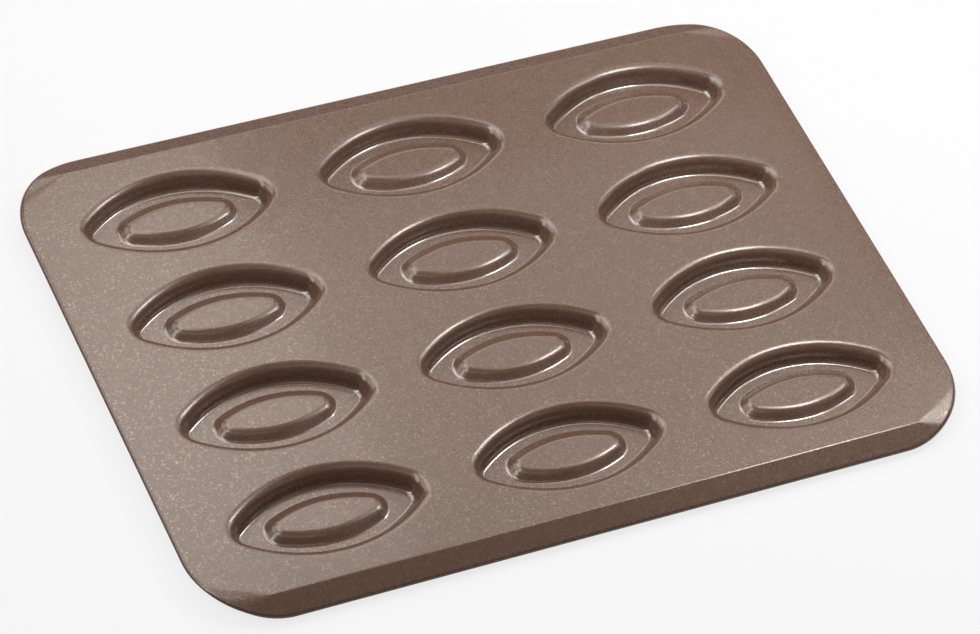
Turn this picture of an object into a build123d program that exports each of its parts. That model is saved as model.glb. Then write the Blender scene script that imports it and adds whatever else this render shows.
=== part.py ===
from build123d import *
from dataclasses import dataclass
from math import acos, atan2, cos, degrees, radians, sin, tan
import os

# A baking pan with twelve boat-shaped cups, pressed from one sheet of coated steel.
# X runs along the length, Y along the width, and Z is up. The pan stands on the undersides
# of its cups, and the origin is on that resting plane, under the middle of the pan.
# Heights inside the shape functions are counted from the steel's upper face on the flat
# deck; the whole pan is lifted onto the resting plane at the end. All sizes are in mm.

# Overall
overall_length = 385.0          # along X, over the turned-down edges
overall_width = 280.0           # along Y, over the two flanges
corner_radius = 40.0            # of the outline, seen from above

# Sheet and coatings
sheet_thickness = 0.6
food_coat_thickness = 0.04
underside_coat_thickness = 0.03

# Flanges along the two long sides
flange_reach = 10.3             # from the crease to the outline, seen from above
flange_angle = 23.0             # down from the deck, in degrees
crease_radius = 2.5
crease_end = 30.5               # from the short edge to where the crease starts to fade
crease_fade = 0.55              # half width of the fading bend, per mm of its length

# Turned-down edge all round
edge_radius = 2.0
edge_drop = 1.2                 # how far the edge turns down

# Layout of the cups
columns = 3
rows = 4
end_land = 24.1                 # deck from the last cup to the plain short edge
side_land = 11.5                # deck from the last cup to the crease
land_between_columns = 20.2
land_between_rows = 10.8

# One cup
cup_depth = 8.5                 # from the deck down to the floor
wall_slope = 75.0               # degrees from the deck
rim_radius = 5.8
floor_radius = 2.6
floor_tip_radius = 3.9          # of the floor's outline at its two ends

# The raised island in the cup's floor
island_height = 3.6
island_slope = 40.0             # degrees from the floor
island_foot_radius = 2.8
island_shoulder_radius = 6.0
island_tip_radius = 1.75        # of the crown's outline at its two ends
channel_beside_island = 3.0     # width of the flat floor at the middle of the cup
channel_at_tips = 10.2          # length of the flat floor at the ends of the cup

# Derived layout
crease_y = overall_width / 2 - flange_reach
crease_x = overall_length / 2 - crease_end
cup_length = (overall_length - 2 * end_land - (columns - 1) * land_between_columns) / columns
cup_width = (2 * (crease_y - side_land) - (rows - 1) * land_between_rows) / rows
column_pitch = cup_length + land_between_columns
row_pitch = cup_width + land_between_rows
rest_height = cup_depth + sheet_thickness + underside_coat_thickness
edge_turn = acos((edge_radius - edge_drop) / edge_radius)
edge_inset = edge_radius * (1 - sin(edge_turn))

# Working blocks, which only have to be larger than what they cut
below = 30.0                    # how far they run below the deck
beyond = 20.0                   # how far they run past the outline
overshoot = 1.0                 # how far a cup's opening runs past the deck's two faces


@dataclass(frozen=True)
class Step:
    """The S-shaped section between two levels: an arc, a straight slope and an arc."""
    top: float                  # level where the section starts
    rise: float                 # to the level where it ends, negative for a fall
    slope: float                # of the straight stretch, in degrees
    start_radius: float
    end_radius: float

    @property
    def run(self):
        """Length of the section seen from above."""
        turn = radians(self.slope)
        arcs = self.start_radius + self.end_radius
        straight = (abs(self.rise) - arcs * (1 - cos(turn))) / sin(turn)
        return arcs * sin(turn) + straight * cos(turn)

    def points(self, offset):
        """The seven points of the section, moved square to itself by the offset."""
        sign = 1 if self.rise > 0 else -1
        start = self.start_radius - sign * offset
        end = self.end_radius + sign * offset
        first_z = self.top + sign * self.start_radius
        last_z = self.top + self.rise - sign * self.end_radius
        turns = [0, radians(self.slope) / 2, radians(self.slope)]
        first = [(start * sin(t), first_z - sign * start * cos(t)) for t in turns]
        last = [(self.run - end * sin(t), last_z + sign * end * cos(t)) for t in turns]
        return first, last[::-1]

    def section(self, outline_radius, plane, upper, lower):
        """Face between two offsets of the section, at its place on a turned outline."""
        def place(point):
            inset, height = point
            return plane.from_local_coords(Vector(outline_radius - inset, height, 0))

        edges = []
        for offset in (upper, lower):
            first, last = self.points(offset)
            edges.append(Edge.make_three_point_arc(*[place(p) for p in first]))
            edges.append(Edge.make_line(place(first[2]), place(last[0])))
            edges.append(Edge.make_three_point_arc(*[place(p) for p in last]))
        (upper_first, upper_last), (lower_first, lower_last) = self.points(upper), self.points(lower)
        edges.append(Edge.make_line(place(upper_first[0]), place(lower_first[0])))
        edges.append(Edge.make_line(place(upper_last[2]), place(lower_last[2])))
        return Face(Wire(edges))


@dataclass(frozen=True)
class Boat:
    """A boat-shaped outline: two long arcs that meet in rounded tips on the X axis."""
    half_length: float
    half_width: float
    tip_radius: float

    @property
    def arcs(self):
        """Centre, radius, first angle and turn of each arc, in degrees."""
        tip_x = self.half_length - self.tip_radius
        spare = self.half_width - self.tip_radius
        side_y = (tip_x ** 2 - spare ** 2) / (2 * spare)
        side_radius = self.half_width + side_y
        tangent = degrees(atan2(side_y, tip_x))
        return [
            ((0, -side_y), side_radius, tangent, 180 - 2 * tangent),
            ((-tip_x, 0), self.tip_radius, 180 - tangent, 2 * tangent),
            ((0, side_y), side_radius, 180 + tangent, 180 - 2 * tangent),
            ((tip_x, 0), self.tip_radius, -tangent, 2 * tangent),
        ]

    def inset(self, distance):
        """The outline moved inwards, with the same arc centres."""
        return Boat(self.half_length - distance, self.half_width - distance,
                    self.tip_radius - distance)

    def face(self):
        """The outline as a flat face at height 0."""
        edges = [CenterArc(centre, radius, start, turn) for centre, radius, start, turn in self.arcs]
        return Face(Wire(edges))

    def swept(self, step, upper, lower):
        """The solids of a step that runs all round, inside the outline."""
        solids = []
        for centre, radius, start, turn in self.arcs:
            angle = radians(start)
            plane = Plane(origin=(centre[0], centre[1], 0), x_dir=(cos(angle), sin(angle), 0),
                          z_dir=(sin(angle), -cos(angle), 0))
            axis = Axis((centre[0], centre[1], 0), (0, 0, 1))
            section = step.section(radius, plane, upper, lower)
            solids.append(revolve(section, axis, turn).solid())
        return solids


cup_wall = Step(0, -cup_depth, wall_slope, rim_radius, floor_radius)
island_wall = Step(-cup_depth, island_height, island_slope,
                   island_foot_radius, island_shoulder_radius)

rim = Boat(cup_length / 2, cup_width / 2, floor_tip_radius + cup_wall.run)
floor = rim.inset(cup_wall.run)
island = Boat(floor.half_length - channel_at_tips, floor.half_width - channel_beside_island,
              island_tip_radius + island_wall.run)
crown = island.inset(island_wall.run)


def slab(face, level, upper, lower):
    """A flat face made into a layer between two offsets from a level."""
    return extrude(face.moved(Location((0, 0, level + lower))), upper - lower, dir=(0, 0, 1)).solid()


def cup(upper, lower):
    """One cup's share of a layer: wall, channel, island wall and crown."""
    channel = floor.face() - island.face()
    pieces = rim.swept(cup_wall, upper, lower)
    pieces.append(slab(channel.face(), -cup_depth, upper, lower))
    pieces += island.swept(island_wall, upper, lower)
    pieces.append(slab(crown.face(), island_height - cup_depth, upper, lower))
    return pieces[0].fuse(*pieces[1:]).clean()


def folded_section(x, bend_radius, offset):
    """Everything under the deck and its two flanges, cut at one X, moved by the offset."""
    fold = radians(flange_angle)
    bend_y = crease_y - bend_radius * tan(fold / 2)
    radius = bend_radius + offset
    bend = [(bend_y + radius * sin(t), radius * cos(t) - bend_radius) for t in (0, fold / 2, fold)]
    outer_y = overall_width / 2 + beyond
    outer = (outer_y, bend[2][1] - (outer_y - bend[2][0]) * tan(fold))
    bottom = (outer_y, offset - below)
    half = bend + [outer, bottom]
    right = [Vector(x, y, z) for y, z in half]
    left = [Vector(x, -y, z) for y, z in half]
    edges = [Edge.make_line(left[0], right[0]), Edge.make_line(left[4], right[4])]
    for side in (left, right):
        edges.append(Edge.make_three_point_arc(*side[:3]))
        edges.append(Edge.make_line(side[2], side[3]))
        edges.append(Edge.make_line(side[3], side[4]))
    return Face(Wire(edges))


def under_fold(offset):
    """Everything under the folded sheet. The creases open into cones near the corners."""
    end_x = overall_length / 2 + beyond
    open_radius = crease_radius + (end_x - crease_x) * crease_fade / tan(radians(flange_angle) / 2)
    tight = folded_section(-crease_x, crease_radius, offset)
    middle = extrude(tight, 2 * crease_x, dir=(1, 0, 0)).solid()
    ends = []
    for side in (-1, 1):
        tight = folded_section(side * crease_x, crease_radius, offset)
        opened = folded_section(side * end_x, open_radius, offset)
        ends.append(Solid.make_loft([tight.outer_wire(), opened.outer_wire()], True))
    return middle.fuse(*ends)


def block(offset):
    """Everything under the pan without its cups: outline, folds and rounded edge."""
    length = overall_length + 2 * (edge_inset + offset)
    width = overall_width + 2 * offset
    outline = RectangleRounded(length, width, corner_radius + offset).face()
    prism = extrude(outline.moved(Location((0, 0, -2 * below))), 3 * below, dir=(0, 0, 1)).solid()
    solid = under_fold(offset).intersect(prism).solid()
    walls = [face for face in solid.faces() if abs(face.normal_at().Z) < 0.01]
    top_edges = []
    for wall in walls:
        top_edges.append(wall.edges().sort_by(Axis.Z)[-1])
    return solid.fillet(edge_radius + offset, top_edges)


def layer(upper, lower):
    """The pan's shape between two offsets from the steel's upper face."""
    shell = block(upper).cut(block(lower))
    shell = shell.cut(under_fold(-edge_drop))
    opening = slab(rim.face(), 0, upper + overshoot, lower - overshoot)
    one_cup = cup(upper, lower)
    places = GridLocations(column_pitch, row_pitch, columns, rows).locations
    shell = shell.cut(*[opening.moved(place) for place in places])
    shell = shell.solid().fuse(*[one_cup.moved(place) for place in places]).clean()
    return shell.solid().moved(Location((0, 0, rest_height)))


def steel_sheet():
    """The pressed sheet itself."""
    return layer(0, -sheet_thickness)


def food_side_coating():
    """The baked coat on the upper face, which the cakes are baked on."""
    return layer(food_coat_thickness, 0)


def underside_coating():
    """The baked coat on the lower face, which the pan stands on."""
    return layer(-sheet_thickness, -sheet_thickness - underside_coat_thickness)


nodes = {
    "steel_sheet": steel_sheet(),
    "food_side_coating": food_side_coating(),
    "underside_coating": underside_coating(),
}

os.makedirs("parts", exist_ok=True)
for name, solid in nodes.items():
    export_step(solid, f"parts/{name}.step")
    size = solid.bounding_box().size
    print(f"{name}: {solid.volume:.1f} mm3, {size.X:.2f} x {size.Y:.2f} x {size.Z:.2f}")
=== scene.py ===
"""The looks of a barquette pan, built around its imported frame.

The pan is one pressed steel sheet with a baked coat on each side. The three layers are
modelled here as fine meshes of one shared surface, moved square to itself by each layer's
depth, so that they stay parallel all over. Every length is in metres, in the frame's axes:
X runs along the cups, Y across the pan and Z up from the plane it stands on.
"""

import logging
import math
from dataclasses import dataclass, field
from enum import Enum
from typing import NamedTuple, Sequence

import bpy
import numpy as np
from mathutils import Matrix, Vector
from mathutils.geometry import delaunay_2d_cdt


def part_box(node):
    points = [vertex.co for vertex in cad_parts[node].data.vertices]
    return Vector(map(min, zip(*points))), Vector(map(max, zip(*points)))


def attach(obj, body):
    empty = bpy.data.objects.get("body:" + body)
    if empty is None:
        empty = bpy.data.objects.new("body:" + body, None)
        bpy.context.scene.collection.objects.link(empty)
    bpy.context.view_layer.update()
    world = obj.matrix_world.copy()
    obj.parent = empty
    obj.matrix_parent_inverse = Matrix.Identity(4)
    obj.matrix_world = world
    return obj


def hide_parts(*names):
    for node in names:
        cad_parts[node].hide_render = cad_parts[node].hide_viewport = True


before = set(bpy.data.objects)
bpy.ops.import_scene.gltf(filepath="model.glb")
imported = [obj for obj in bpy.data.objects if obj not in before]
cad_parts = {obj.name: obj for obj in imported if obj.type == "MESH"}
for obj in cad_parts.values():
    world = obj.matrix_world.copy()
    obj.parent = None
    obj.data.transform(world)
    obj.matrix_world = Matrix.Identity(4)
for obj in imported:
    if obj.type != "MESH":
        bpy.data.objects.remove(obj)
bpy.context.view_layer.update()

log = logging.getLogger("barquette_pan")

MM = 0.001
PAN = (0.0, 0.0, 0.0)
BODY = "root"
BEND = "bend"

Colour = tuple[float, float, float, float]
Triple = tuple[float, float, float]
Pair = tuple[float, float]


class Station(NamedTuple):
    """One place on a wall's section, seen from its start.

    The bend is 1 in the middle of a hollow fold, -1 on the middle of a rounded one, and 0
    where the wall is straight.
    """

    inset: float
    height: float
    lean: float
    bend: float


def bulge(share: float) -> float:
    """A soft hump over a fold, 0 at its two ends and 1 in its middle."""
    return math.sin(math.pi * share)


@dataclass(frozen=True)
class WallCurve:
    """The S-shaped section of a pressed wall: an arc, a straight slope and an arc.

    A wall that falls leans its face inwards, and one that rises leans it outwards.
    """

    rise: float
    slope: float
    start_radius: float
    end_radius: float
    start_facets: int
    slope_facets: int
    end_facets: int

    @property
    def sign(self) -> int:
        """1 for a wall that rises towards the middle, and -1 for one that falls."""
        return 1 if self.rise > 0 else -1

    @property
    def run(self) -> float:
        """How far the wall reaches inwards.

        Returns:
            The distance from its start to its end, seen from above.
        """
        arcs = self.start_radius + self.end_radius
        straight = (abs(self.rise) - arcs * (1 - math.cos(self.slope))) / math.sin(self.slope)
        return arcs * math.sin(self.slope) + straight * math.cos(self.slope)

    def stations(self) -> list[Station]:
        """Places along the wall, from its start to its end.

        Returns:
            The stations, with both ends. Their lean is the face's turn towards the middle.
        """
        first = []
        for step in range(self.start_facets + 1):
            share = step / self.start_facets
            turn = self.slope * share
            height = self.sign * self.start_radius * (1 - math.cos(turn))
            inset = self.start_radius * math.sin(turn)
            first.append(Station(inset, height, -self.sign * turn, self.sign * bulge(share)))
        last = []
        for step in range(self.end_facets + 1):
            share = step / self.end_facets
            turn = self.slope * (1 - share)
            height = self.rise - self.sign * self.end_radius * (1 - math.cos(turn))
            inset = self.run - self.end_radius * math.sin(turn)
            last.append(Station(inset, height, -self.sign * turn, -self.sign * bulge(share)))
        slope = []
        for step in range(1, self.slope_facets):
            share = step / self.slope_facets
            inset = first[-1].inset + share * (last[0].inset - first[-1].inset)
            height = first[-1].height + share * (last[0].height - first[-1].height)
            slope.append(Station(inset, height, first[-1].lean, 0.0))
        return first + slope + last


@dataclass(frozen=True)
class BoatOutline:
    """A boat-shaped outline: two long arcs that meet in rounded tips on the X axis."""

    half_length: float
    half_width: float
    tip_radius: float
    side_facets: int = 28
    tip_facets: int = 14

    @property
    def side_centre(self) -> float:
        """How far each long arc's centre lies from the X axis.

        Returns:
            The distance, on the side away from the arc.
        """
        tip_x = self.half_length - self.tip_radius
        spare = self.half_width - self.tip_radius
        return (tip_x**2 - spare**2) / (2 * spare)

    def inset(self, distance: float) -> "BoatOutline":
        """The outline moved inwards, with the same arc centres.

        Args:
            distance: How far it is moved.

        Returns:
            The smaller outline.
        """
        return BoatOutline(
            self.half_length - distance,
            self.half_width - distance,
            self.tip_radius - distance,
            self.side_facets,
            self.tip_facets,
        )

    def ring(self) -> tuple[np.ndarray, np.ndarray]:
        """Points along the outline.

        Returns:
            The points and their outward directions, anticlockwise from the right-hand end of
            the far side: far side, left tip, near side, right tip.
        """
        tip_x = self.half_length - self.tip_radius
        side_y = self.side_centre
        side_radius = self.half_width + side_y
        tangent = math.atan2(side_y, tip_x)
        side_turn = math.pi - 2 * tangent
        arcs = [
            ((0, -side_y), side_radius, tangent, side_turn, self.side_facets),
            ((-tip_x, 0), self.tip_radius, math.pi - tangent, 2 * tangent, self.tip_facets),
            ((0, side_y), side_radius, math.pi + tangent, side_turn, self.side_facets),
            ((tip_x, 0), self.tip_radius, -tangent, 2 * tangent, self.tip_facets),
        ]
        points, outward = [], []
        for centre, radius, start, turn, facets in arcs:
            angles = start + turn * np.arange(facets) / facets
            ways = np.stack([np.cos(angles), np.sin(angles)], axis=1)
            points.append(np.array(centre) + radius * ways)
            outward.append(ways)
        return np.vstack(points), np.vstack(outward)

    def holds(self, places: np.ndarray, margin: float) -> np.ndarray:
        """Which places lie inside the outline or within a margin of it.

        Args:
            places: Points, one a row, counted from the outline's middle.
            margin: How far outside the outline still counts.

        Returns:
            One True or False for each place.
        """
        reach = self.half_width + self.side_centre + margin
        inside = np.abs(places[:, 0]) < self.half_length + margin
        for side in (-1, 1):
            centre = np.array([0, side * self.side_centre])
            inside &= np.linalg.norm(places - centre, axis=1) < reach
        return inside


@dataclass
class Skin:
    """A surface as arrays: its points, the way each one faces, its bend and its faces."""

    points: np.ndarray
    facing: np.ndarray
    bend: np.ndarray
    faces: list[tuple[int, ...]] = field(default_factory=list)


@dataclass(frozen=True)
class BoatCup:
    """One cup: a falling wall, a flat channel, a rising wall and a flat crown."""

    wall: WallCurve
    island_wall: WallCurve
    rim: BoatOutline
    channel_beside_island: float = 3.0 * MM
    channel_at_tips: float = 10.2 * MM
    island_tip_radius: float = 1.75 * MM
    channel_facets: int = 2

    @property
    def floor(self) -> BoatOutline:
        """Where the wall has become the flat channel."""
        return self.rim.inset(self.wall.run)

    @property
    def island(self) -> BoatOutline:
        """Where the island starts to rise out of the channel.

        Returns:
            The island's outline at its foot.
        """
        return BoatOutline(
            self.floor.half_length - self.channel_at_tips,
            self.floor.half_width - self.channel_beside_island,
            self.island_tip_radius + self.island_wall.run,
            self.rim.side_facets,
            self.rim.tip_facets,
        )

    def _wall_rings(self, outline: BoatOutline, wall: WallCurve, level: float) -> list[Skin]:
        """One ring of points for each station of a wall that runs inside an outline.

        Args:
            outline: Where the wall starts.
            wall: Its section.
            level: The height at which it starts.

        Returns:
            The rings, from the wall's start to its end.
        """
        rings = []
        for inset, height, lean, bend in wall.stations():
            flat, outward = outline.inset(inset).ring()
            level_here = np.full((len(flat), 1), level + height)
            upward = np.full((len(flat), 1), math.cos(lean))
            facing = np.hstack([-math.sin(lean) * outward, upward])
            rings.append(Skin(np.hstack([flat, level_here]), facing, np.full(len(flat), bend)))
        return rings

    def skin(self) -> Skin:
        """The cup's surface about its own middle.

        Returns:
            The surface. Its first ring of points is the rim, at height 0.
        """
        outer = self._wall_rings(self.rim, self.wall, 0)
        inner = self._wall_rings(self.island, self.island_wall, self.wall.rise)
        rings = list(outer)
        for step in range(1, self.channel_facets):
            share = step / self.channel_facets
            between = (1 - share) * outer[-1].points + share * inner[0].points
            rings.append(Skin(between, outer[-1].facing, np.zeros(len(between))))
        rings += inner
        count = len(rings[0].points)
        faces = []
        for ring in range(len(rings) - 1):
            start = ring * count
            for k in range(count):
                after = (k + 1) % count
                faces.append((start + k, start + after, start + count + after, start + count + k))
        crown = self._crown(rings[-1].points, (len(rings) - 1) * count)
        rings.append(crown)
        return Skin(
            np.vstack([ring.points for ring in rings]),
            np.vstack([ring.facing for ring in rings]),
            np.concatenate([ring.bend for ring in rings]),
            faces + crown.faces,
        )

    def _crown(self, ring: np.ndarray, first: int) -> Skin:
        """The flat top of the island: a grid of four-sided faces inside the last ring.

        Args:
            ring: The last ring's points.
            first: The number of its first point.

        Returns:
            The grid's inner points, and faces that join them to the ring.
        """
        across, up = self.rim.side_facets, self.rim.tip_facets
        count = len(ring)
        number = np.zeros((across + 1, up + 1), dtype=int)
        for i in range(across + 1):
            number[i, 0] = first + i
            number[i, up] = first + (2 * across + up - i)
        for j in range(up + 1):
            number[across, j] = first + across + j
            number[0, j] = first + (count - j) % count
        inner, after = [], first + count
        for i in range(1, across):
            for j in range(1, up):
                u, v = i / across, j / up
                ends = [ring[number[i, k] - first] for k in (0, up)]
                sides = [ring[number[k, j] - first] for k in (0, across)]
                corners = [ring[number[a, b] - first] for a in (0, across) for b in (0, up)]
                place = (1 - v) * ends[0] + v * ends[1] + (1 - u) * sides[0] + u * sides[1]
                place = place - (1 - u) * ((1 - v) * corners[0] + v * corners[1])
                place = place - u * ((1 - v) * corners[2] + v * corners[3])
                inner.append(place)
                number[i, j] = after
                after += 1
        faces = []
        for i in range(across):
            for j in range(up):
                corners = (number[i, j], number[i + 1, j], number[i + 1, j + 1], number[i, j + 1])
                faces.append(tuple(int(corner) for corner in corners))
        points = np.array(inner)
        upward = np.tile([0.0, 0.0, 1.0], (len(points), 1))
        return Skin(points, upward, np.zeros(len(points)), faces)


@dataclass(frozen=True)
class FoldedDeck:
    """The flat deck and its two turned-down flanges, whose creases fade near the corners."""

    crease_x: float
    crease_y: float
    angle: float = math.radians(23.0)
    bend_radius: float = 2.5 * MM
    fade: float = 0.55
    bend_facets: int = 6
    crease_points: int = 55
    fading_points: int = 10

    def radius_at(self, x: np.ndarray) -> np.ndarray:
        """The bend's radius, which grows beyond the full crease."""
        past = np.maximum(np.abs(x) - self.crease_x, 0)
        return self.bend_radius + past * self.fade / math.tan(self.angle / 2)

    def height(self, x: np.ndarray, y: np.ndarray, offset: float) -> np.ndarray:
        """The height of the folded surface, moved square to itself by an offset.

        Args:
            x: Places along the pan.
            y: Places across it.
            offset: How far the surface is moved, up if positive.

        Returns:
            Heights counted from the deck.
        """
        reference = self.radius_at(x)
        radius = reference + offset
        out = np.abs(y) - self.crease_y + reference * math.tan(self.angle / 2)
        bend_end = radius * math.sin(self.angle)
        bent = np.sqrt(np.maximum(radius**2 - np.clip(out, 0, bend_end) ** 2, 0)) - reference
        return bent - np.maximum(out - bend_end, 0) * math.tan(self.angle)

    def facing(self, x: np.ndarray, y: np.ndarray, offset: float) -> np.ndarray:
        """The way the surface faces, from its slopes.

        Args:
            x: Places along the pan.
            y: Places across it.
            offset: How far the surface is moved, up if positive.

        Returns:
            One direction of length 1 for each place.
        """
        step = 1e-3 * MM
        slopes = []
        for dx, dy in ((step, 0), (0, step)):
            ahead, behind = self.height(x + dx, y + dy, offset), self.height(x - dx, y - dy, offset)
            slopes.append((ahead - behind) / (2 * step))
        facing = np.stack([-slopes[0], -slopes[1], np.ones_like(slopes[0])], axis=1)
        return facing / np.linalg.norm(facing, axis=1, keepdims=True)

    def crease_lines(self, reach: float) -> list[np.ndarray]:
        """The lines along the bend, from its start on the deck to its end on the flange.

        Args:
            reach: How far along the pan the lines run, each way.

        Returns:
            One array of points for each line, on both sides of the pan.
        """
        straight = np.linspace(-self.crease_x, self.crease_x, self.crease_points)
        past = np.linspace(0, 1, self.fading_points + 1)[1:]
        past = self.crease_x + (reach - self.crease_x) * past
        x = np.concatenate([-past[::-1], straight, past])
        lines = []
        for side in (-1, 1):
            for step in range(self.bend_facets + 1):
                turn = self.angle * step / self.bend_facets
                radius = self.radius_at(x)
                y = self.crease_y - radius * math.tan(self.angle / 2) + radius * math.sin(turn)
                lines.append(np.stack([x, side * y], axis=1))
        return lines


@dataclass(frozen=True)
class PanOutline:
    """The pan's outline seen from above, a rectangle with round corners."""

    half_length: float
    half_width: float
    corner_radius: float
    straight_step: float = 5.0 * MM
    corner_facets: int = 24

    def loop(self) -> tuple[np.ndarray, np.ndarray]:
        """Points along the outline, anticlockwise.

        Returns:
            The points and their outward directions.
        """
        x, y = self.half_length - self.corner_radius, self.half_width - self.corner_radius
        corners = [(x, y), (-x, y), (-x, -y), (x, -y)]
        points, outward = [], []
        for number, corner in enumerate(corners):
            share = np.arange(self.corner_facets + 1) / self.corner_facets
            angles = math.pi / 2 * (number + share)
            ways = np.stack([np.cos(angles), np.sin(angles)], axis=1)
            arc = np.array(corner) + self.corner_radius * ways
            points.append(arc)
            outward.append(ways)
            after = np.array(corners[(number + 1) % 4]) + self.corner_radius * ways[-1]
            steps = round(float(np.linalg.norm(after - arc[-1])) / self.straight_step)
            shares = np.arange(1, steps)[:, None] / steps
            points.append(arc[-1] + shares * (after - arc[-1]))
            outward.append(np.tile(ways[-1], (steps - 1, 1)))
        return np.vstack(points), np.vstack(outward)

    def depth(self, places: np.ndarray) -> np.ndarray:
        """How far places lie inside the outline.

        Args:
            places: Points, one a row.

        Returns:
            One distance for each place, negative outside the outline.
        """
        core = np.array([self.half_length, self.half_width]) - self.corner_radius
        past = np.abs(places) - core
        outside = np.linalg.norm(np.maximum(past, 0), axis=1)
        return self.corner_radius - outside - np.minimum(past.max(axis=1), 0)


@dataclass
class PressedPan:
    """The whole pan: a folded deck with cups, and an edge rolled down all round.

    The three clearances are shares of the step between the deck's spare points.
    """

    deck_height: float
    overall_length: float
    overall_width: float
    corner_radius: float = 40.0 * MM
    flange_reach: float = 10.3 * MM
    crease_end: float = 30.5 * MM
    edge_radius: float = 2.0 * MM
    edge_drop: float = 1.2 * MM
    edge_facets: int = 7
    columns: int = 3
    rows: int = 4
    end_land: float = 24.1 * MM
    side_land: float = 11.5 * MM
    land_between_columns: float = 20.2 * MM
    land_between_rows: float = 10.8 * MM
    floor_tip_radius: float = 3.9 * MM
    wall: WallCurve = WallCurve(
        rise=-8.5 * MM,
        slope=math.radians(75.0),
        start_radius=5.8 * MM,
        end_radius=2.6 * MM,
        start_facets=11,
        slope_facets=2,
        end_facets=8,
    )
    island_wall: WallCurve = WallCurve(
        rise=3.6 * MM,
        slope=math.radians(40.0),
        start_radius=2.8 * MM,
        end_radius=6.0 * MM,
        start_facets=6,
        slope_facets=2,
        end_facets=7,
    )
    deck_step: float = 9.0 * MM
    corner_step: float = 2.6 * MM
    corner_depth: float = 30.9 * MM
    crease_margin: float = 1.2 * MM
    edge_clearance: float = 0.6
    rim_clearance: float = 0.4
    crease_clearance: float = 0.45
    faces: list[tuple[int, ...]] = field(default_factory=list)

    def __post_init__(self) -> None:
        """Lays out the points and faces that all layers share."""
        crease_y = self.overall_width / 2 - self.flange_reach
        cup_length = self.overall_length - 2 * self.end_land
        cup_length = (cup_length - (self.columns - 1) * self.land_between_columns) / self.columns
        cup_width = 2 * (crease_y - self.side_land)
        cup_width = (cup_width - (self.rows - 1) * self.land_between_rows) / self.rows
        self.pitch = (cup_length + self.land_between_columns, cup_width + self.land_between_rows)
        self.deck = FoldedDeck(self.overall_length / 2 - self.crease_end, crease_y)
        tip_radius = self.floor_tip_radius + self.wall.run
        self.rim = BoatOutline(cup_length / 2, cup_width / 2, tip_radius)
        self.cup = BoatCup(self.wall, self.island_wall, self.rim)
        edge_turn = self.edge_turn(0)
        edge_inset = self.edge_radius * (1 - math.sin(edge_turn))
        self.outline = PanOutline(
            self.overall_length / 2 + edge_inset, self.overall_width / 2, self.corner_radius
        )
        self._lay_cups()
        self._lay_edge()
        self._lay_deck()

    def edge_turn(self, offset: float) -> float:
        """How far the edge rolls down on a layer's face, in radians."""
        return math.acos((self.edge_radius - self.edge_drop) / (self.edge_radius + offset))

    def cup_places(self) -> list[np.ndarray]:
        """The middles of the cups, row by row.

        Returns:
            One point for each cup.
        """
        return [
            np.array([(i - (self.columns - 1) / 2) * self.pitch[0],
                      (j - (self.rows - 1) / 2) * self.pitch[1]])
            for j in range(self.rows)
            for i in range(self.columns)
        ]

    def _lay_cups(self) -> None:
        """Copies the cup to its places."""
        one = self.cup.skin()
        places = self.cup_places()
        self.cup_points = np.vstack([one.points + np.append(place, 0) for place in places])
        self.cup_facing = np.tile(one.facing, (len(places), 1))
        self.cup_bend = np.tile(one.bend, len(places))
        self.cup_size = len(one.points)
        for number in range(len(places)):
            start = number * self.cup_size
            self.faces += [tuple(start + corner for corner in face) for face in one.faces]

    def _lay_edge(self) -> None:
        """Places the circle that rolls along the edge, and the faces of the roll."""
        points, outward = self.outline.loop()
        centres = points - self.edge_radius * outward
        x, y = centres.T
        down = self.deck.height(x, y, -self.edge_radius)
        self.roll_centres = np.hstack([centres, down[:, None]])
        self.roll_start = self.deck.facing(x, y, -self.edge_radius)
        outward = np.hstack([outward, np.zeros((len(outward), 1))])
        along = (outward * self.roll_start).sum(axis=1, keepdims=True)
        across = outward - along * self.roll_start
        self.roll_end = across / np.linalg.norm(across, axis=1, keepdims=True)
        count, first = len(points), len(self.cup_points)
        for row in range(self.edge_facets):
            start = first + row * count
            for k in range(count):
                after = (k + 1) % count
                below = start + count
                self.faces.append((start + k, below + k, below + after, start + after))

    def _lay_deck(self) -> None:
        """Fills the deck between the cups' rims and the edge with triangles."""
        rim_count = 2 * (self.rim.side_facets + self.rim.tip_facets)
        loop_count = len(self.roll_centres)
        numbers, flat, edges = [], [], []

        def add_line(line: np.ndarray, ids: Sequence[int], closed: bool) -> None:
            """Adds points that the triangles have to join in a row.

            Args:
                line: The points.
                ids: Their numbers among all points.
                closed: Whether the last point is joined to the first.
            """
            start = len(flat)
            flat.extend(Vector(place) for place in line)
            numbers.extend(ids)
            last = len(line) if closed else len(line) - 1
            edges.extend((start + k, start + (k + 1) % len(line)) for k in range(last))

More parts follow.
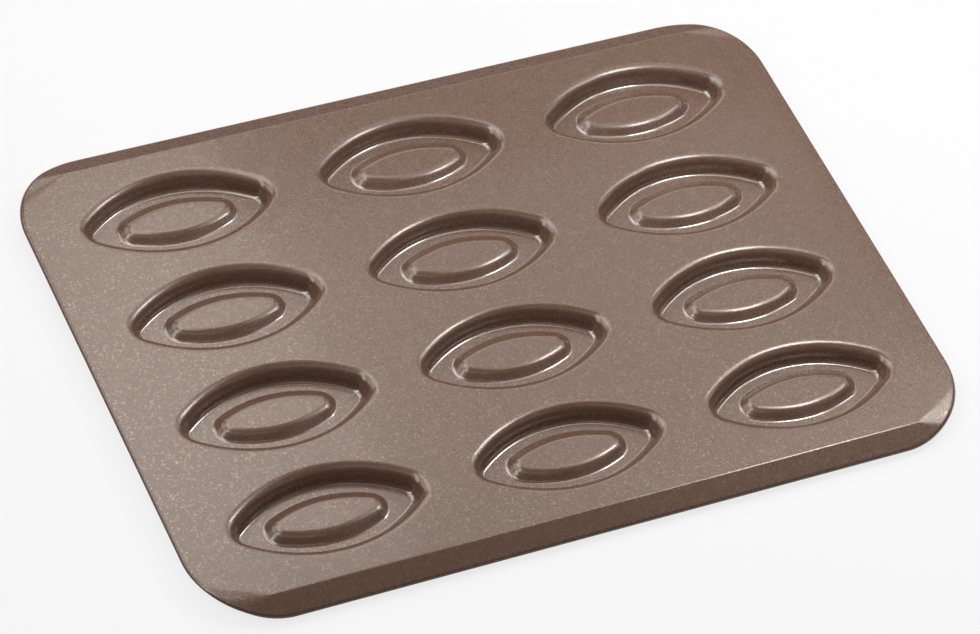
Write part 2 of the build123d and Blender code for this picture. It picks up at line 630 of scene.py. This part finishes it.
        roll_first = len(self.cup_points)
        loop = (self.roll_centres + self.edge_radius * self.roll_start)[:, :2]
        add_line(loop, range(roll_first, roll_first + loop_count), closed=True)
        for number in range(len(self.cup_places())):
            start = number * self.cup_size
            rim = self.cup_points[start : start + rim_count, :2]
            add_line(rim, range(start, start + rim_count), closed=True)
        free_first = roll_first + (self.edge_facets + 1) * loop_count
        free = []
        margin = self.edge_radius + self.crease_margin
        for line in self.deck.crease_lines(self.overall_length / 2):
            kept = line[self.outline.depth(line) > margin]
            start = free_first + len(free)
            add_line(kept, range(start, start + len(kept)), closed=False)
            free.extend(kept)
        for place in self._spare_places(np.array(free)):
            flat.append(Vector(place))
            numbers.append(free_first + len(free))
            free.append(place)
        self.free = np.array(free)
        outer = [list(range(loop_count))]
        inside_only, closest = 1, 1e-8
        filled = delaunay_2d_cdt(flat, edges, outer, inside_only, closest, True)
        verts, _, faces, sources, _, _ = filled
        given = [numbers[source[0]] if source else -1 for source in sources]
        if -1 in given or len(verts) != len(flat):
            raise ValueError("the deck's lines cross each other")
        for face in faces:
            corners = [given[k] for k in face]
            cups = {corner // self.cup_size for corner in corners if corner < roll_first}
            if all(corner < roll_first for corner in corners) and len(cups) == 1:
                continue
            a, b, c = (verts[k] for k in face[:3])
            turn = (b - a).x * (c - a).y - (b - a).y * (c - a).x
            self.faces.append(tuple(corners if turn > 0 else corners[::-1]))

    def _spare_places(self, taken: np.ndarray) -> np.ndarray:
        """Points that keep the deck's triangles even, closer together near the corners.

        Args:
            taken: Points that the triangles already have along the creases.

        Returns:
            The spare points, clear of the cups, the creases and the edge.
        """
        grids = []
        for step, near_corner in ((self.deck_step, False), (self.corner_step, True)):
            x = np.arange(-self.overall_length / 2, self.overall_length / 2, step) + step / 2
            y = np.arange(-self.overall_width / 2, self.overall_width / 2, step) + step / 2
            grid = np.array(np.meshgrid(x, y)).reshape(2, -1).T
            corner = (np.abs(grid[:, 0]) > self.deck.crease_x - step)
            corner &= np.abs(grid[:, 1]) > self.deck.crease_y - self.corner_depth
            grid = grid[corner == near_corner]
            clear = self.outline.depth(grid) > self.edge_radius + self.edge_clearance * step
            for place in self.cup_places():
                clear &= ~self.rim.holds(grid - place, self.rim_clearance * step)
            grid = grid[clear]
            near = np.array([np.linalg.norm(taken - place, axis=1).min() for place in grid])
            grids.append(grid[near > self.crease_clearance * step])
        return np.vstack(grids)

    def face_of_layer(self, offset: float) -> Skin:
        """The pan's surface, moved square to itself by an offset.

        Args:
            offset: The distance from the steel's upper face, up if positive.

        Returns:
            The surface's points in the frame, and the way each one faces.
        """
        points = [self.cup_points + offset * self.cup_facing]
        facing = [self.cup_facing]
        bend = [self.cup_bend]
        radius = self.edge_radius + offset
        for row in range(self.edge_facets + 1):
            share = row / self.edge_facets
            turn = self.edge_turn(offset) * share
            way = math.cos(turn) * self.roll_start + math.sin(turn) * self.roll_end
            points.append(self.roll_centres + radius * way)
            facing.append(way)
            bend.append(np.full(len(way), -share))
        x, y = self.free.T
        deck_facing = self.deck.facing(x, y, 0)
        heights = self.deck.height(x, y, 0)[:, None]
        points.append(np.hstack([self.free, heights]) + offset * deck_facing)
        facing.append(deck_facing)
        bend.append(np.zeros(len(self.free)))
        stacked = np.vstack(points)
        stacked[:, 2] += self.deck_height
        return Skin(stacked, np.vstack(facing), np.concatenate(bend), self.faces)

    def layer(self, name: str, upper: float, lower: float) -> bpy.types.Object:
        """A closed layer between two offsets, with exact smooth shading.

        Args:
            name: The piece's name.
            upper: The offset of its upper face.
            lower: The offset of its lower face.

        Returns:
            The layer as a mesh object.
        """
        top, bottom = self.face_of_layer(upper), self.face_of_layer(lower)
        count, loop_count = len(top.points), len(self.roll_centres)
        last_row = len(self.cup_points) + self.edge_facets * loop_count
        cut = []
        for k in range(loop_count):
            here, after = last_row + k, last_row + (k + 1) % loop_count
            cut.append((here, count + here, count + after, after))
        underneath = [tuple(count + corner for corner in face[::-1]) for face in self.faces]
        faces = self.faces + underneath + cut
        mesh = bpy.data.meshes.new(name)
        mesh.from_pydata(np.vstack([top.points, bottom.points]).tolist(), [], faces)
        corners = np.zeros(len(mesh.loops), dtype=np.int32)
        mesh.loops.foreach_get("vertex_index", corners)
        normals = np.vstack([top.facing, -bottom.facing])[corners]
        cut_first = len(corners) - len(cut[0]) * len(cut)
        normals[cut_first:] = -self.roll_start[(corners[cut_first:] - last_row) % count]
        mesh.shade_smooth()
        mesh.normals_split_custom_set(normals.tolist())
        bend = mesh.attributes.new(BEND, "FLOAT", "POINT")
        values = np.concatenate([top.bend, -bottom.bend])
        bend.data.foreach_set("value", values.astype(np.float32))
        piece = bpy.data.objects.new(name, mesh)
        bpy.context.scene.collection.objects.link(piece)
        return piece


class Signal:
    """A socket's output, on which Python arithmetic adds Math nodes."""

    def __init__(self, graph: "Graph", socket: bpy.types.NodeSocket) -> None:
        """Wraps a socket of a graph."""
        self.graph = graph
        self.socket = socket

    def _math(self, operation: str, first: "Value", second: "Value") -> "Signal":
        """A Math node on two values."""
        return self.graph.node("ShaderNodeMath", {"operation": operation}, {0: first, 1: second})

    def __add__(self, other: "Value") -> "Signal":
        """This value plus another."""
        return self._math("ADD", self, other)

    __radd__ = __add__

    def __sub__(self, other: "Value") -> "Signal":
        """This value less another."""
        return self._math("SUBTRACT", self, other)

    def __rsub__(self, other: "Value") -> "Signal":
        """Another value less this one."""
        return self._math("SUBTRACT", other, self)

    def __mul__(self, other: "Value") -> "Signal":
        """This value times another."""
        return self._math("MULTIPLY", self, other)

    __rmul__ = __mul__

    def most(self, other: "Value") -> "Signal":
        """The larger of this value and another."""
        return self._math("MAXIMUM", self, other)

    def ramp(self, low: float, high: float) -> "Signal":
        """A smooth step from 0 to 1.

        Args:
            low: The value at which it leaves 0.
            high: The value at which it reaches 1.

        Returns:
            The step.
        """
        settings = {"interpolation_type": "SMOOTHSTEP"}
        inputs = {"Value": self, "From Min": low, "From Max": high}
        return self.graph.node("ShaderNodeMapRange", settings, inputs)


Value = Signal | float


class Graph:
    """A node tree that is built by calls."""

    def __init__(self, owner: bpy.types.Material | bpy.types.World) -> None:
        """Empties the owner's node tree.

        Args:
            owner: The material or world that the tree belongs to.
        """
        owner.use_nodes = True
        self.tree = owner.node_tree
        self.tree.nodes.clear()

    def node(
        self,
        kind: str,
        settings: dict[str, object],
        inputs: dict[str | int, object],
        output: str | int = 0,
    ) -> Signal:
        """Adds a node.

        Args:
            kind: The node's type.
            settings: Its own settings, set before its sockets.
            inputs: Values or signals for its sockets, by name or number.
            output: The output to hand back, by name or number.

        Returns:
            The chosen output.
        """
        node = self.tree.nodes.new(kind)
        for key, value in settings.items():
            setattr(node, key, value)
        for key, value in inputs.items():
            if isinstance(value, Signal):
                self.tree.links.new(value.socket, node.inputs[key])
            else:
                node.inputs[key].default_value = value
        return Signal(self, node.outputs[output] if len(node.outputs) else None)

    def place(self) -> Signal:
        """Where on the piece a point lies, in metres."""
        return self.node("ShaderNodeTexCoord", {}, {}, "Object")

    def blend(self, share: Value, first: object, second: object) -> Signal:
        """A mix of two colours.

        Args:
            share: How much of the second colour, 0 to 1.
            first: The colour at 0.
            second: The colour at 1.

        Returns:
            The mixed colour.
        """
        settings = {"data_type": "RGBA", "blend_type": "MIX"}
        return self.node("ShaderNodeMix", settings, {0: share, 6: first, 7: second}, 2)

    def noise(
        self, place: Signal, size: float, detail: float = 2.0, rough: float = 0.5
    ) -> Signal:
        """Cloudy noise, 0 to 1.

        Args:
            place: Where to read it.
            size: How wide its blotches are, about.
            detail: How many finer layers it has.
            rough: How strong the finer layers are.

        Returns:
            The noise.
        """
        inputs = {"Vector": place, "Scale": 1 / size, "Detail": detail, "Roughness": rough}
        return self.node("ShaderNodeTexNoise", {}, inputs, "Fac")

    def specks(self, place: Signal, size: float) -> Signal:
        """A value, 0 to 1, that is even within each speck and differs from speck to speck.

        Args:
            place: Where to read it.
            size: How wide a speck is, about.

        Returns:
            The value.
        """
        inputs = {"Vector": place, "Scale": 1 / size}
        speck = self.node("ShaderNodeTexVoronoi", {}, inputs, "Color")
        return self.node("ShaderNodeSeparateColor", {}, {"Color": speck}, "Red")

    def stretched(self, place: Signal, stretch: Triple) -> Signal:
        """A place drawn out along the axes, for marks that are longer one way."""
        settings = {"operation": "MULTIPLY"}
        return self.node("ShaderNodeVectorMath", settings, {0: place, 1: stretch})

    def bump(self, height: Signal, depth: float, under: Signal | None = None) -> Signal:
        """The way a surface faces when a height, 0 to 1, is pressed into it.

        Args:
            height: The height over the surface.
            depth: How high 1 is, in metres.
            under: The way the surface faces without it, if that is already bent.

        Returns:
            The new way the surface faces.
        """
        inputs = {"Strength": 1.0, "Distance": depth, "Height": height}
        if under is not None:
            inputs["Normal"] = under
        return self.node("ShaderNodeBump", {}, inputs)

    def surface(self, inputs: dict[str, object]) -> None:
        """Ends the tree in one glossy surface with the given sockets."""
        shader = self.node("ShaderNodeBsdfPrincipled", {}, inputs)
        self.node("ShaderNodeOutputMaterial", {}, {"Surface": shader})


@dataclass(frozen=True)
class FoodSideCoat:
    """The baked brown coat: red-brown pigment and fine bright flakes in a clear binder."""

    name: str = "baked_brown_coat"
    pigment: Colour = (0.167, 0.087, 0.06, 1.0)
    dark_pigment: Colour = (0.115, 0.058, 0.038, 1.0)
    tint: Colour = (1.0, 0.95, 0.84, 1.0)
    flake: Colour = (0.3, 0.24, 0.195, 1.0)
    flake_metal: float = 0.85
    flake_loss: float = 0.75
    binder_ior: float = 1.75
    roughness: float = 0.28
    grain_roughness: float = 0.08
    mottle_roughness: float = 0.04
    crest_polish: float = 0.03
    gloss: float = 0.15
    gloss_roughness: float = 0.08
    gloss_ior: float = 1.9
    tone_span: Pair = (0.3, 1.4)
    fold_span: Pair = (0.1, 0.8)
    bright_specks: Pair = (0.7, 0.9)
    bright_grains: Pair = (0.45, 0.6)
    flake_size: float = 0.8 * MM
    grain_size: float = 0.9 * MM
    mottle_size: float = 6.5 * MM
    cloud_size: float = 48.0 * MM
    grain_depth: float = 0.006 * MM
    peel_size: float = 2.2 * MM
    peel_depth: float = 0.01 * MM
    wave_size: float = 75.0 * MM
    wave_depth: float = 0.5 * MM

    def material(self) -> bpy.types.Material:
        """Makes the coat's material.

        Returns:
            The material.
        """
        material = bpy.data.materials.new(self.name)
        graph = Graph(material)
        place = graph.place()
        bend = graph.node("ShaderNodeAttribute", {"attribute_name": BEND}, {}, "Fac")
        speck = graph.specks(place, self.flake_size)
        grain = graph.noise(place, self.grain_size, rough=0.6)
        mottle = graph.noise(place, self.mottle_size, detail=3.0, rough=0.6)
        cloud = graph.noise(place, self.cloud_size)
        tone = 0.5 * speck + 0.9 * grain + 0.15 * mottle + 0.15 * cloud
        colour = graph.blend(tone.ramp(*self.tone_span), self.dark_pigment, self.pigment)
        crest = (-1.0 * bend).ramp(*self.fold_span)
        pooled = bend.ramp(*self.fold_span)
        bright = speck.ramp(*self.bright_specks) * grain.ramp(*self.bright_grains)
        bright = bright * (1.0 - self.flake_loss * crest.most(pooled))
        colour = graph.blend(bright, colour, self.flake)
        rough = self.roughness + self.grain_roughness * (grain - 0.5)
        rough = rough + self.mottle_roughness * (mottle - 0.5) - self.crest_polish * crest
        waves = graph.noise(place, self.wave_size, detail=1.0)
        wavy = graph.bump(waves, self.wave_depth)
        peel = graph.noise(place, self.peel_size, detail=1.0)
        peeled = graph.bump(peel, self.peel_depth, wavy)
        grained = graph.bump(grain, self.grain_depth, peeled)
        graph.surface({
            "Base Color": colour,
            "Metallic": self.flake_metal * bright,
            "Roughness": rough,
            "IOR": self.binder_ior,
            "Specular Tint": self.tint,
            "Coat Weight": self.gloss + (1.0 - self.gloss) * pooled,
            "Coat Roughness": self.gloss_roughness,
            "Coat IOR": self.gloss_ior,
            "Normal": grained,
        })
        return material


@dataclass(frozen=True)
class UndersideCoat:
    """The baked dark coat of the lower face, rubbed where the pan slides on an oven rack."""

    name: str = "baked_dark_coat"
    pigment: Colour = (0.045, 0.04, 0.038, 1.0)
    dark_pigment: Colour = (0.026, 0.023, 0.022, 1.0)
    rubbed: Colour = (0.13, 0.12, 0.112, 1.0)
    binder_ior: float = 1.75
    roughness: float = 0.4
    grain_roughness: float = 0.1
    mottle_roughness: float = 0.08
    rub_polish: float = 0.12
    rub_metal: float = 0.5
    rub_cover: float = 0.8
    tone_span: Pair = (0.2, 1.0)
    speck_size: float = 0.5 * MM
    speck_depth: float = 0.004 * MM
    grain_size: float = 1.1 * MM
    mottle_size: float = 9.0 * MM
    peel_size: float = 1.9 * MM
    peel_depth: float = 0.018 * MM
    rub_height: float = 0.5 * MM

    def material(self) -> bpy.types.Material:
        """Makes the coat's material.

        Returns:
            The material.
        """
        material = bpy.data.materials.new(self.name)
        graph = Graph(material)
        place = graph.place()
        bend = graph.node("ShaderNodeAttribute", {"attribute_name": BEND}, {}, "Fac")
        height = graph.node("ShaderNodeSeparateXYZ", {}, {"Vector": place}, "Z")
        speck = graph.specks(place, self.speck_size)
        grain = graph.noise(place, self.grain_size, detail=3.0, rough=0.7)
        mottle = graph.noise(place, self.mottle_size, detail=3.0, rough=0.6)
        tone = 0.4 * speck + 0.3 * grain + 0.5 * mottle
        colour = graph.blend(tone.ramp(*self.tone_span), self.dark_pigment, self.pigment)
        across = graph.noise(graph.stretched(place, (0.05, 1.0, 1.0)), size=0.7 * MM)
        along = graph.noise(graph.stretched(place, (1.0, 0.06, 1.0)), size=0.9 * MM)
        scratch = across.ramp(0.6, 0.72).most(along.ramp(0.62, 0.74))
        low = 1.0 - height.ramp(0.1 * self.rub_height, self.rub_height)
        crest = (-1.0 * bend).ramp(0.5, 1.0) * mottle.ramp(0.45, 0.7)
        rub = (low * scratch * mottle.ramp(0.35, 0.65)).most(0.35 * crest)
        colour = graph.blend(rub * self.rub_cover, colour, self.rubbed)
        rough = self.roughness + self.grain_roughness * (grain - 0.5)
        rough = rough + self.mottle_roughness * (mottle - 0.5) - self.rub_polish * rub
        peeled = graph.bump(graph.noise(place, self.peel_size), self.peel_depth)
        graph.surface({
            "Base Color": colour,
            "Metallic": self.rub_metal * rub,
            "Roughness": rough,
            "IOR": self.binder_ior,
            "Normal": graph.bump(speck, self.speck_depth, peeled),
        })
        return material


@dataclass(frozen=True)
class CutSteel:
    """The sheet's own steel, bare only at the sheared edge, where heat has darkened it."""

    name: str = "sheared_steel"
    bright: Colour = (0.2, 0.19, 0.185, 1.0)
    darkened: Colour = (0.09, 0.078, 0.07, 1.0)
    metal: float = 0.95
    roughness: float = 0.36
    shear_roughness: float = 0.2
    stain_roughness: float = 0.1
    stain_span: Pair = (0.3, 0.7)
    stain_size: float = 7.0 * MM
    shear_size: float = 0.3 * MM
    shear_stretch: Triple = (1.0, 1.0, 0.2)
    burr_depth: float = 0.02 * MM

    def material(self) -> bpy.types.Material:
        """Makes the steel's material.

        Returns:
            The material.
        """
        material = bpy.data.materials.new(self.name)
        graph = Graph(material)
        place = graph.place()
        drawn = graph.stretched(place, self.shear_stretch)
        shear = graph.noise(drawn, self.shear_size, detail=3.0, rough=0.6)
        stain = graph.noise(place, self.stain_size, detail=3.0, rough=0.6)
        colour = graph.blend(stain.ramp(*self.stain_span), self.darkened, self.bright)
        rough = self.roughness + self.shear_roughness * (shear - 0.5)
        graph.surface({
            "Base Color": colour,
            "Metallic": self.metal,
            "Roughness": rough + self.stain_roughness * stain,
            "Normal": graph.bump(shear, self.burr_depth),
        })
        return material


@dataclass(frozen=True)
class Layer:
    """One layer of the pan: which solid it stands for and what it is finished with."""

    name: str
    node: str
    slot: str
    finish: FoodSideCoat | UndersideCoat | CutSteel


class Sheet(Enum):
    """The layers that the pan is made of, from the middle outwards."""

    STEEL = Layer("pressed_steel_sheet", "steel_sheet", "steel", CutSteel())
    FOOD_SIDE = Layer("food_side_coat", "food_side_coating", "food_side_coat", FoodSideCoat())
    UNDERSIDE = Layer("underside_coat", "underside_coating", "underside_coat", UndersideCoat())


@dataclass(frozen=True)
class Softbox:
    """A soft studio lamp: a glowing panel of one even brightness."""

    name: str
    place: Triple
    aim: Triple
    width: float
    height: float
    radiance: float

    def hang(self) -> None:
        """Hangs the lamp at its place, facing its aim and unseen by the camera."""
        data = bpy.data.lights.new(self.name, "AREA")
        data.shape = "RECTANGLE"
        data.size = self.width
        data.size_y = self.height
        data.energy = self.radiance * math.pi * self.width * self.height
        lamp = bpy.data.objects.new(self.name, data)
        bpy.context.scene.collection.objects.link(lamp)
        lamp.location = self.place
        way = Vector(self.aim) - Vector(self.place)
        lamp.rotation_euler = way.to_track_quat("-Z", "Y").to_euler()
        lamp.visible_camera = False


@dataclass(frozen=True)
class Floor:
    """A pale, even floor that shows as near white and keeps the pan's shadow."""

    half_size: float = 4.0
    colour: Colour = (0.7, 0.7, 0.7, 1.0)
    glow: Colour = (1.0, 1.0, 1.0, 1.0)
    lift: float = 0.8

    def lay(self) -> None:
        """Lays the floor at the height the pan stands on."""
        reach = self.half_size
        corners = [(-reach, -reach, 0), (reach, -reach, 0), (reach, reach, 0), (-reach, reach, 0)]
        mesh = bpy.data.meshes.new("floor")
        mesh.from_pydata(corners, [], [(0, 1, 2, 3)])
        mesh.materials.append(self.material())
        floor = bpy.data.objects.new("floor", mesh)
        bpy.context.scene.collection.objects.link(floor)

    def material(self) -> bpy.types.Material:
        """A matt pale grey that is lifted towards white where the camera sees it.

        Returns:
            The material.
        """
        material = bpy.data.materials.new("floor_paper")
        graph = Graph(material)
        paper = graph.node("ShaderNodeBsdfDiffuse", {}, {"Color": self.colour})
        glow = graph.node("ShaderNodeEmission", {}, {"Color": self.glow, "Strength": 1.0})
        seen = graph.node("ShaderNodeLightPath", {}, {}, "Is Camera Ray")
        mixed = graph.node("ShaderNodeMixShader", {}, {0: seen * self.lift, 1: paper, 2: glow})
        graph.node("ShaderNodeOutputMaterial", {}, {"Surface": mixed})
        return material


@dataclass(frozen=True)
class Room:
    """The faint, even light of the room itself."""

    strength: float = 0.04

    def light(self) -> None:
        """Lights the scene evenly from all sides."""
        world = bpy.data.worlds.new("room")
        graph = Graph(world)
        shader = graph.node("ShaderNodeBackground", {}, {"Strength": self.strength})
        graph.node("ShaderNodeOutputWorld", {}, {"Surface": shader})
        bpy.context.scene.world = world


@dataclass(frozen=True)
class Camera:
    """The photograph's camera, fitted to the pan's outline."""

    distance: float = 2.1647
    azimuth: float = math.radians(32.43)
    elevation: float = math.radians(48.84)
    roll: float = math.radians(11.56)
    aim: Pair = (-4.3 * MM, -11.5 * MM)
    lens: float = 171.3
    sensor: float = 36.0
    clip_end: float = 50.0

    def set_up(self, deck_height: float) -> None:
        """Places the camera.

        Args:
            deck_height: The height of the deck, at which it aims.
        """
        data = bpy.data.cameras.new("camera")
        data.lens = self.lens
        data.sensor_width = self.sensor
        data.sensor_fit = "HORIZONTAL"
        data.clip_end = self.clip_end
        camera = bpy.data.objects.new("camera", data)
        bpy.context.scene.collection.objects.link(camera)
        level = math.cos(self.elevation)
        ahead, aside = level * math.cos(self.azimuth), level * math.sin(self.azimuth)
        forward = Vector((aside, ahead, -math.sin(self.elevation)))
        aim = Vector((*self.aim, deck_height))
        level_view = forward.to_track_quat("-Z", "Y").to_matrix().to_4x4()
        rolled = level_view @ Matrix.Rotation(self.roll, 4, "Z")
        camera.matrix_world = Matrix.Translation(aim - self.distance * forward) @ rolled
        bpy.context.scene.camera = camera


@dataclass
class Studio:
    """The floor, the room's light, the lamps and the camera."""

    camera: Camera = Camera()
    floor: Floor = Floor()
    room: Room = Room()
    lamps: tuple[Softbox, ...] = (
        Softbox("left_panel", (-1.29, 0.0, 1.53), PAN, 0.56, 1.74, 3.5),
        Softbox("back_left_panel", (-1.07, 1.07, 1.31), PAN, 1.4, 1.1, 1.8),
        Softbox("high_back_panel", (-0.38, 0.61, 1.87), PAN, 0.95, 0.75, 0.6),
        Softbox("back_strip", (0.44, 1.64, 1.06), PAN, 1.5, 0.5, 2.0),
        Softbox("right_strip", (1.64, 0.44, 1.06), PAN, 1.5, 0.5, 1.4),
        Softbox("near_left_panel", (-0.45, -0.72, 1.81), PAN, 1.7, 0.7, 0.4),
        Softbox("near_right_panel", (1.1, -0.99, 1.34), PAN, 1.2, 0.6, 0.3),
        Softbox("table_lamp_left", (-0.15, 0.24, 0.51), (-0.15, 0.24, 0.0), 0.18, 0.36, 3.0),
        Softbox("table_lamp_middle", (0.03, 0.37, 0.51), (0.03, 0.37, 0.0), 0.18, 0.38, 2.6),
        Softbox("table_lamp_back", (0.3, 0.32, 0.51), (0.3, 0.32, 0.0), 0.36, 0.3, 1.15),
        Softbox("table_lamp_right", (0.26, 0.06, 0.51), (0.26, 0.06, 0.0), 0.3, 0.24, 1.6),
        Softbox("right_edge_lamp", (0.5, 0.03, 0.51), (0.5, 0.03, 0.0), 0.08, 0.36, 7.0),
        Softbox("key", (0.33, -0.03, 0.5), (0.33, -0.03, 0.0), 0.12, 0.15, 16.0),
    )

    def set_up(self, deck_height: float) -> None:
        """Sets up the whole studio around the pan.

        Args:
            deck_height: The height of the deck, at which the camera aims.
        """
        self.camera.set_up(deck_height)
        self.floor.lay()
        self.room.light()
        for lamp in self.lamps:
            lamp.hang()
        bpy.context.scene.view_settings.view_transform = "Standard"
        log.info("studio: %d lamps", len(self.lamps))


def dress(pan: PressedPan, sheet: Sheet, upper: float, lower: float) -> None:
    """Makes one layer of the pan and gives it its finish.

    Args:
        pan: The pan's shape.
        sheet: Which layer.
        upper: The offset of the layer's upper face.
        lower: The offset of its lower face.
    """
    layer = sheet.value
    piece = pan.layer(layer.name, upper, lower)
    piece.data.materials.append(layer.finish.material())
    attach(piece, BODY)
    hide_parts(layer.node)
    triangles = sum(len(face.vertices) - 2 for face in piece.data.polygons)
    log.info("%s: %d faces, %d triangles", layer.name, len(piece.data.polygons), triangles)


def main() -> None:
    """Builds the pan's layers and the studio."""
    steel_low, steel_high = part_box(Sheet.STEEL.value.node)
    food_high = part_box(Sheet.FOOD_SIDE.value.node)[1]
    under_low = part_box(Sheet.UNDERSIDE.value.node)[0]
    pan = PressedPan(
        deck_height=steel_high.z,
        overall_length=steel_high.x - steel_low.x,
        overall_width=steel_high.y - steel_low.y,
    )
    steel_bottom = steel_low.z - (steel_high.z + pan.wall.rise)
    coat_bottom = under_low.z - (steel_high.z + pan.wall.rise)
    dress(pan, Sheet.STEEL, 0.0, steel_bottom)
    dress(pan, Sheet.FOOD_SIDE, food_high.z - steel_high.z, 0.0)
    dress(pan, Sheet.UNDERSIDE, steel_bottom, coat_bottom)
    Studio().set_up(steel_high.z)


if __name__ == "__main__":
    logging.basicConfig(level=logging.INFO)
    main()
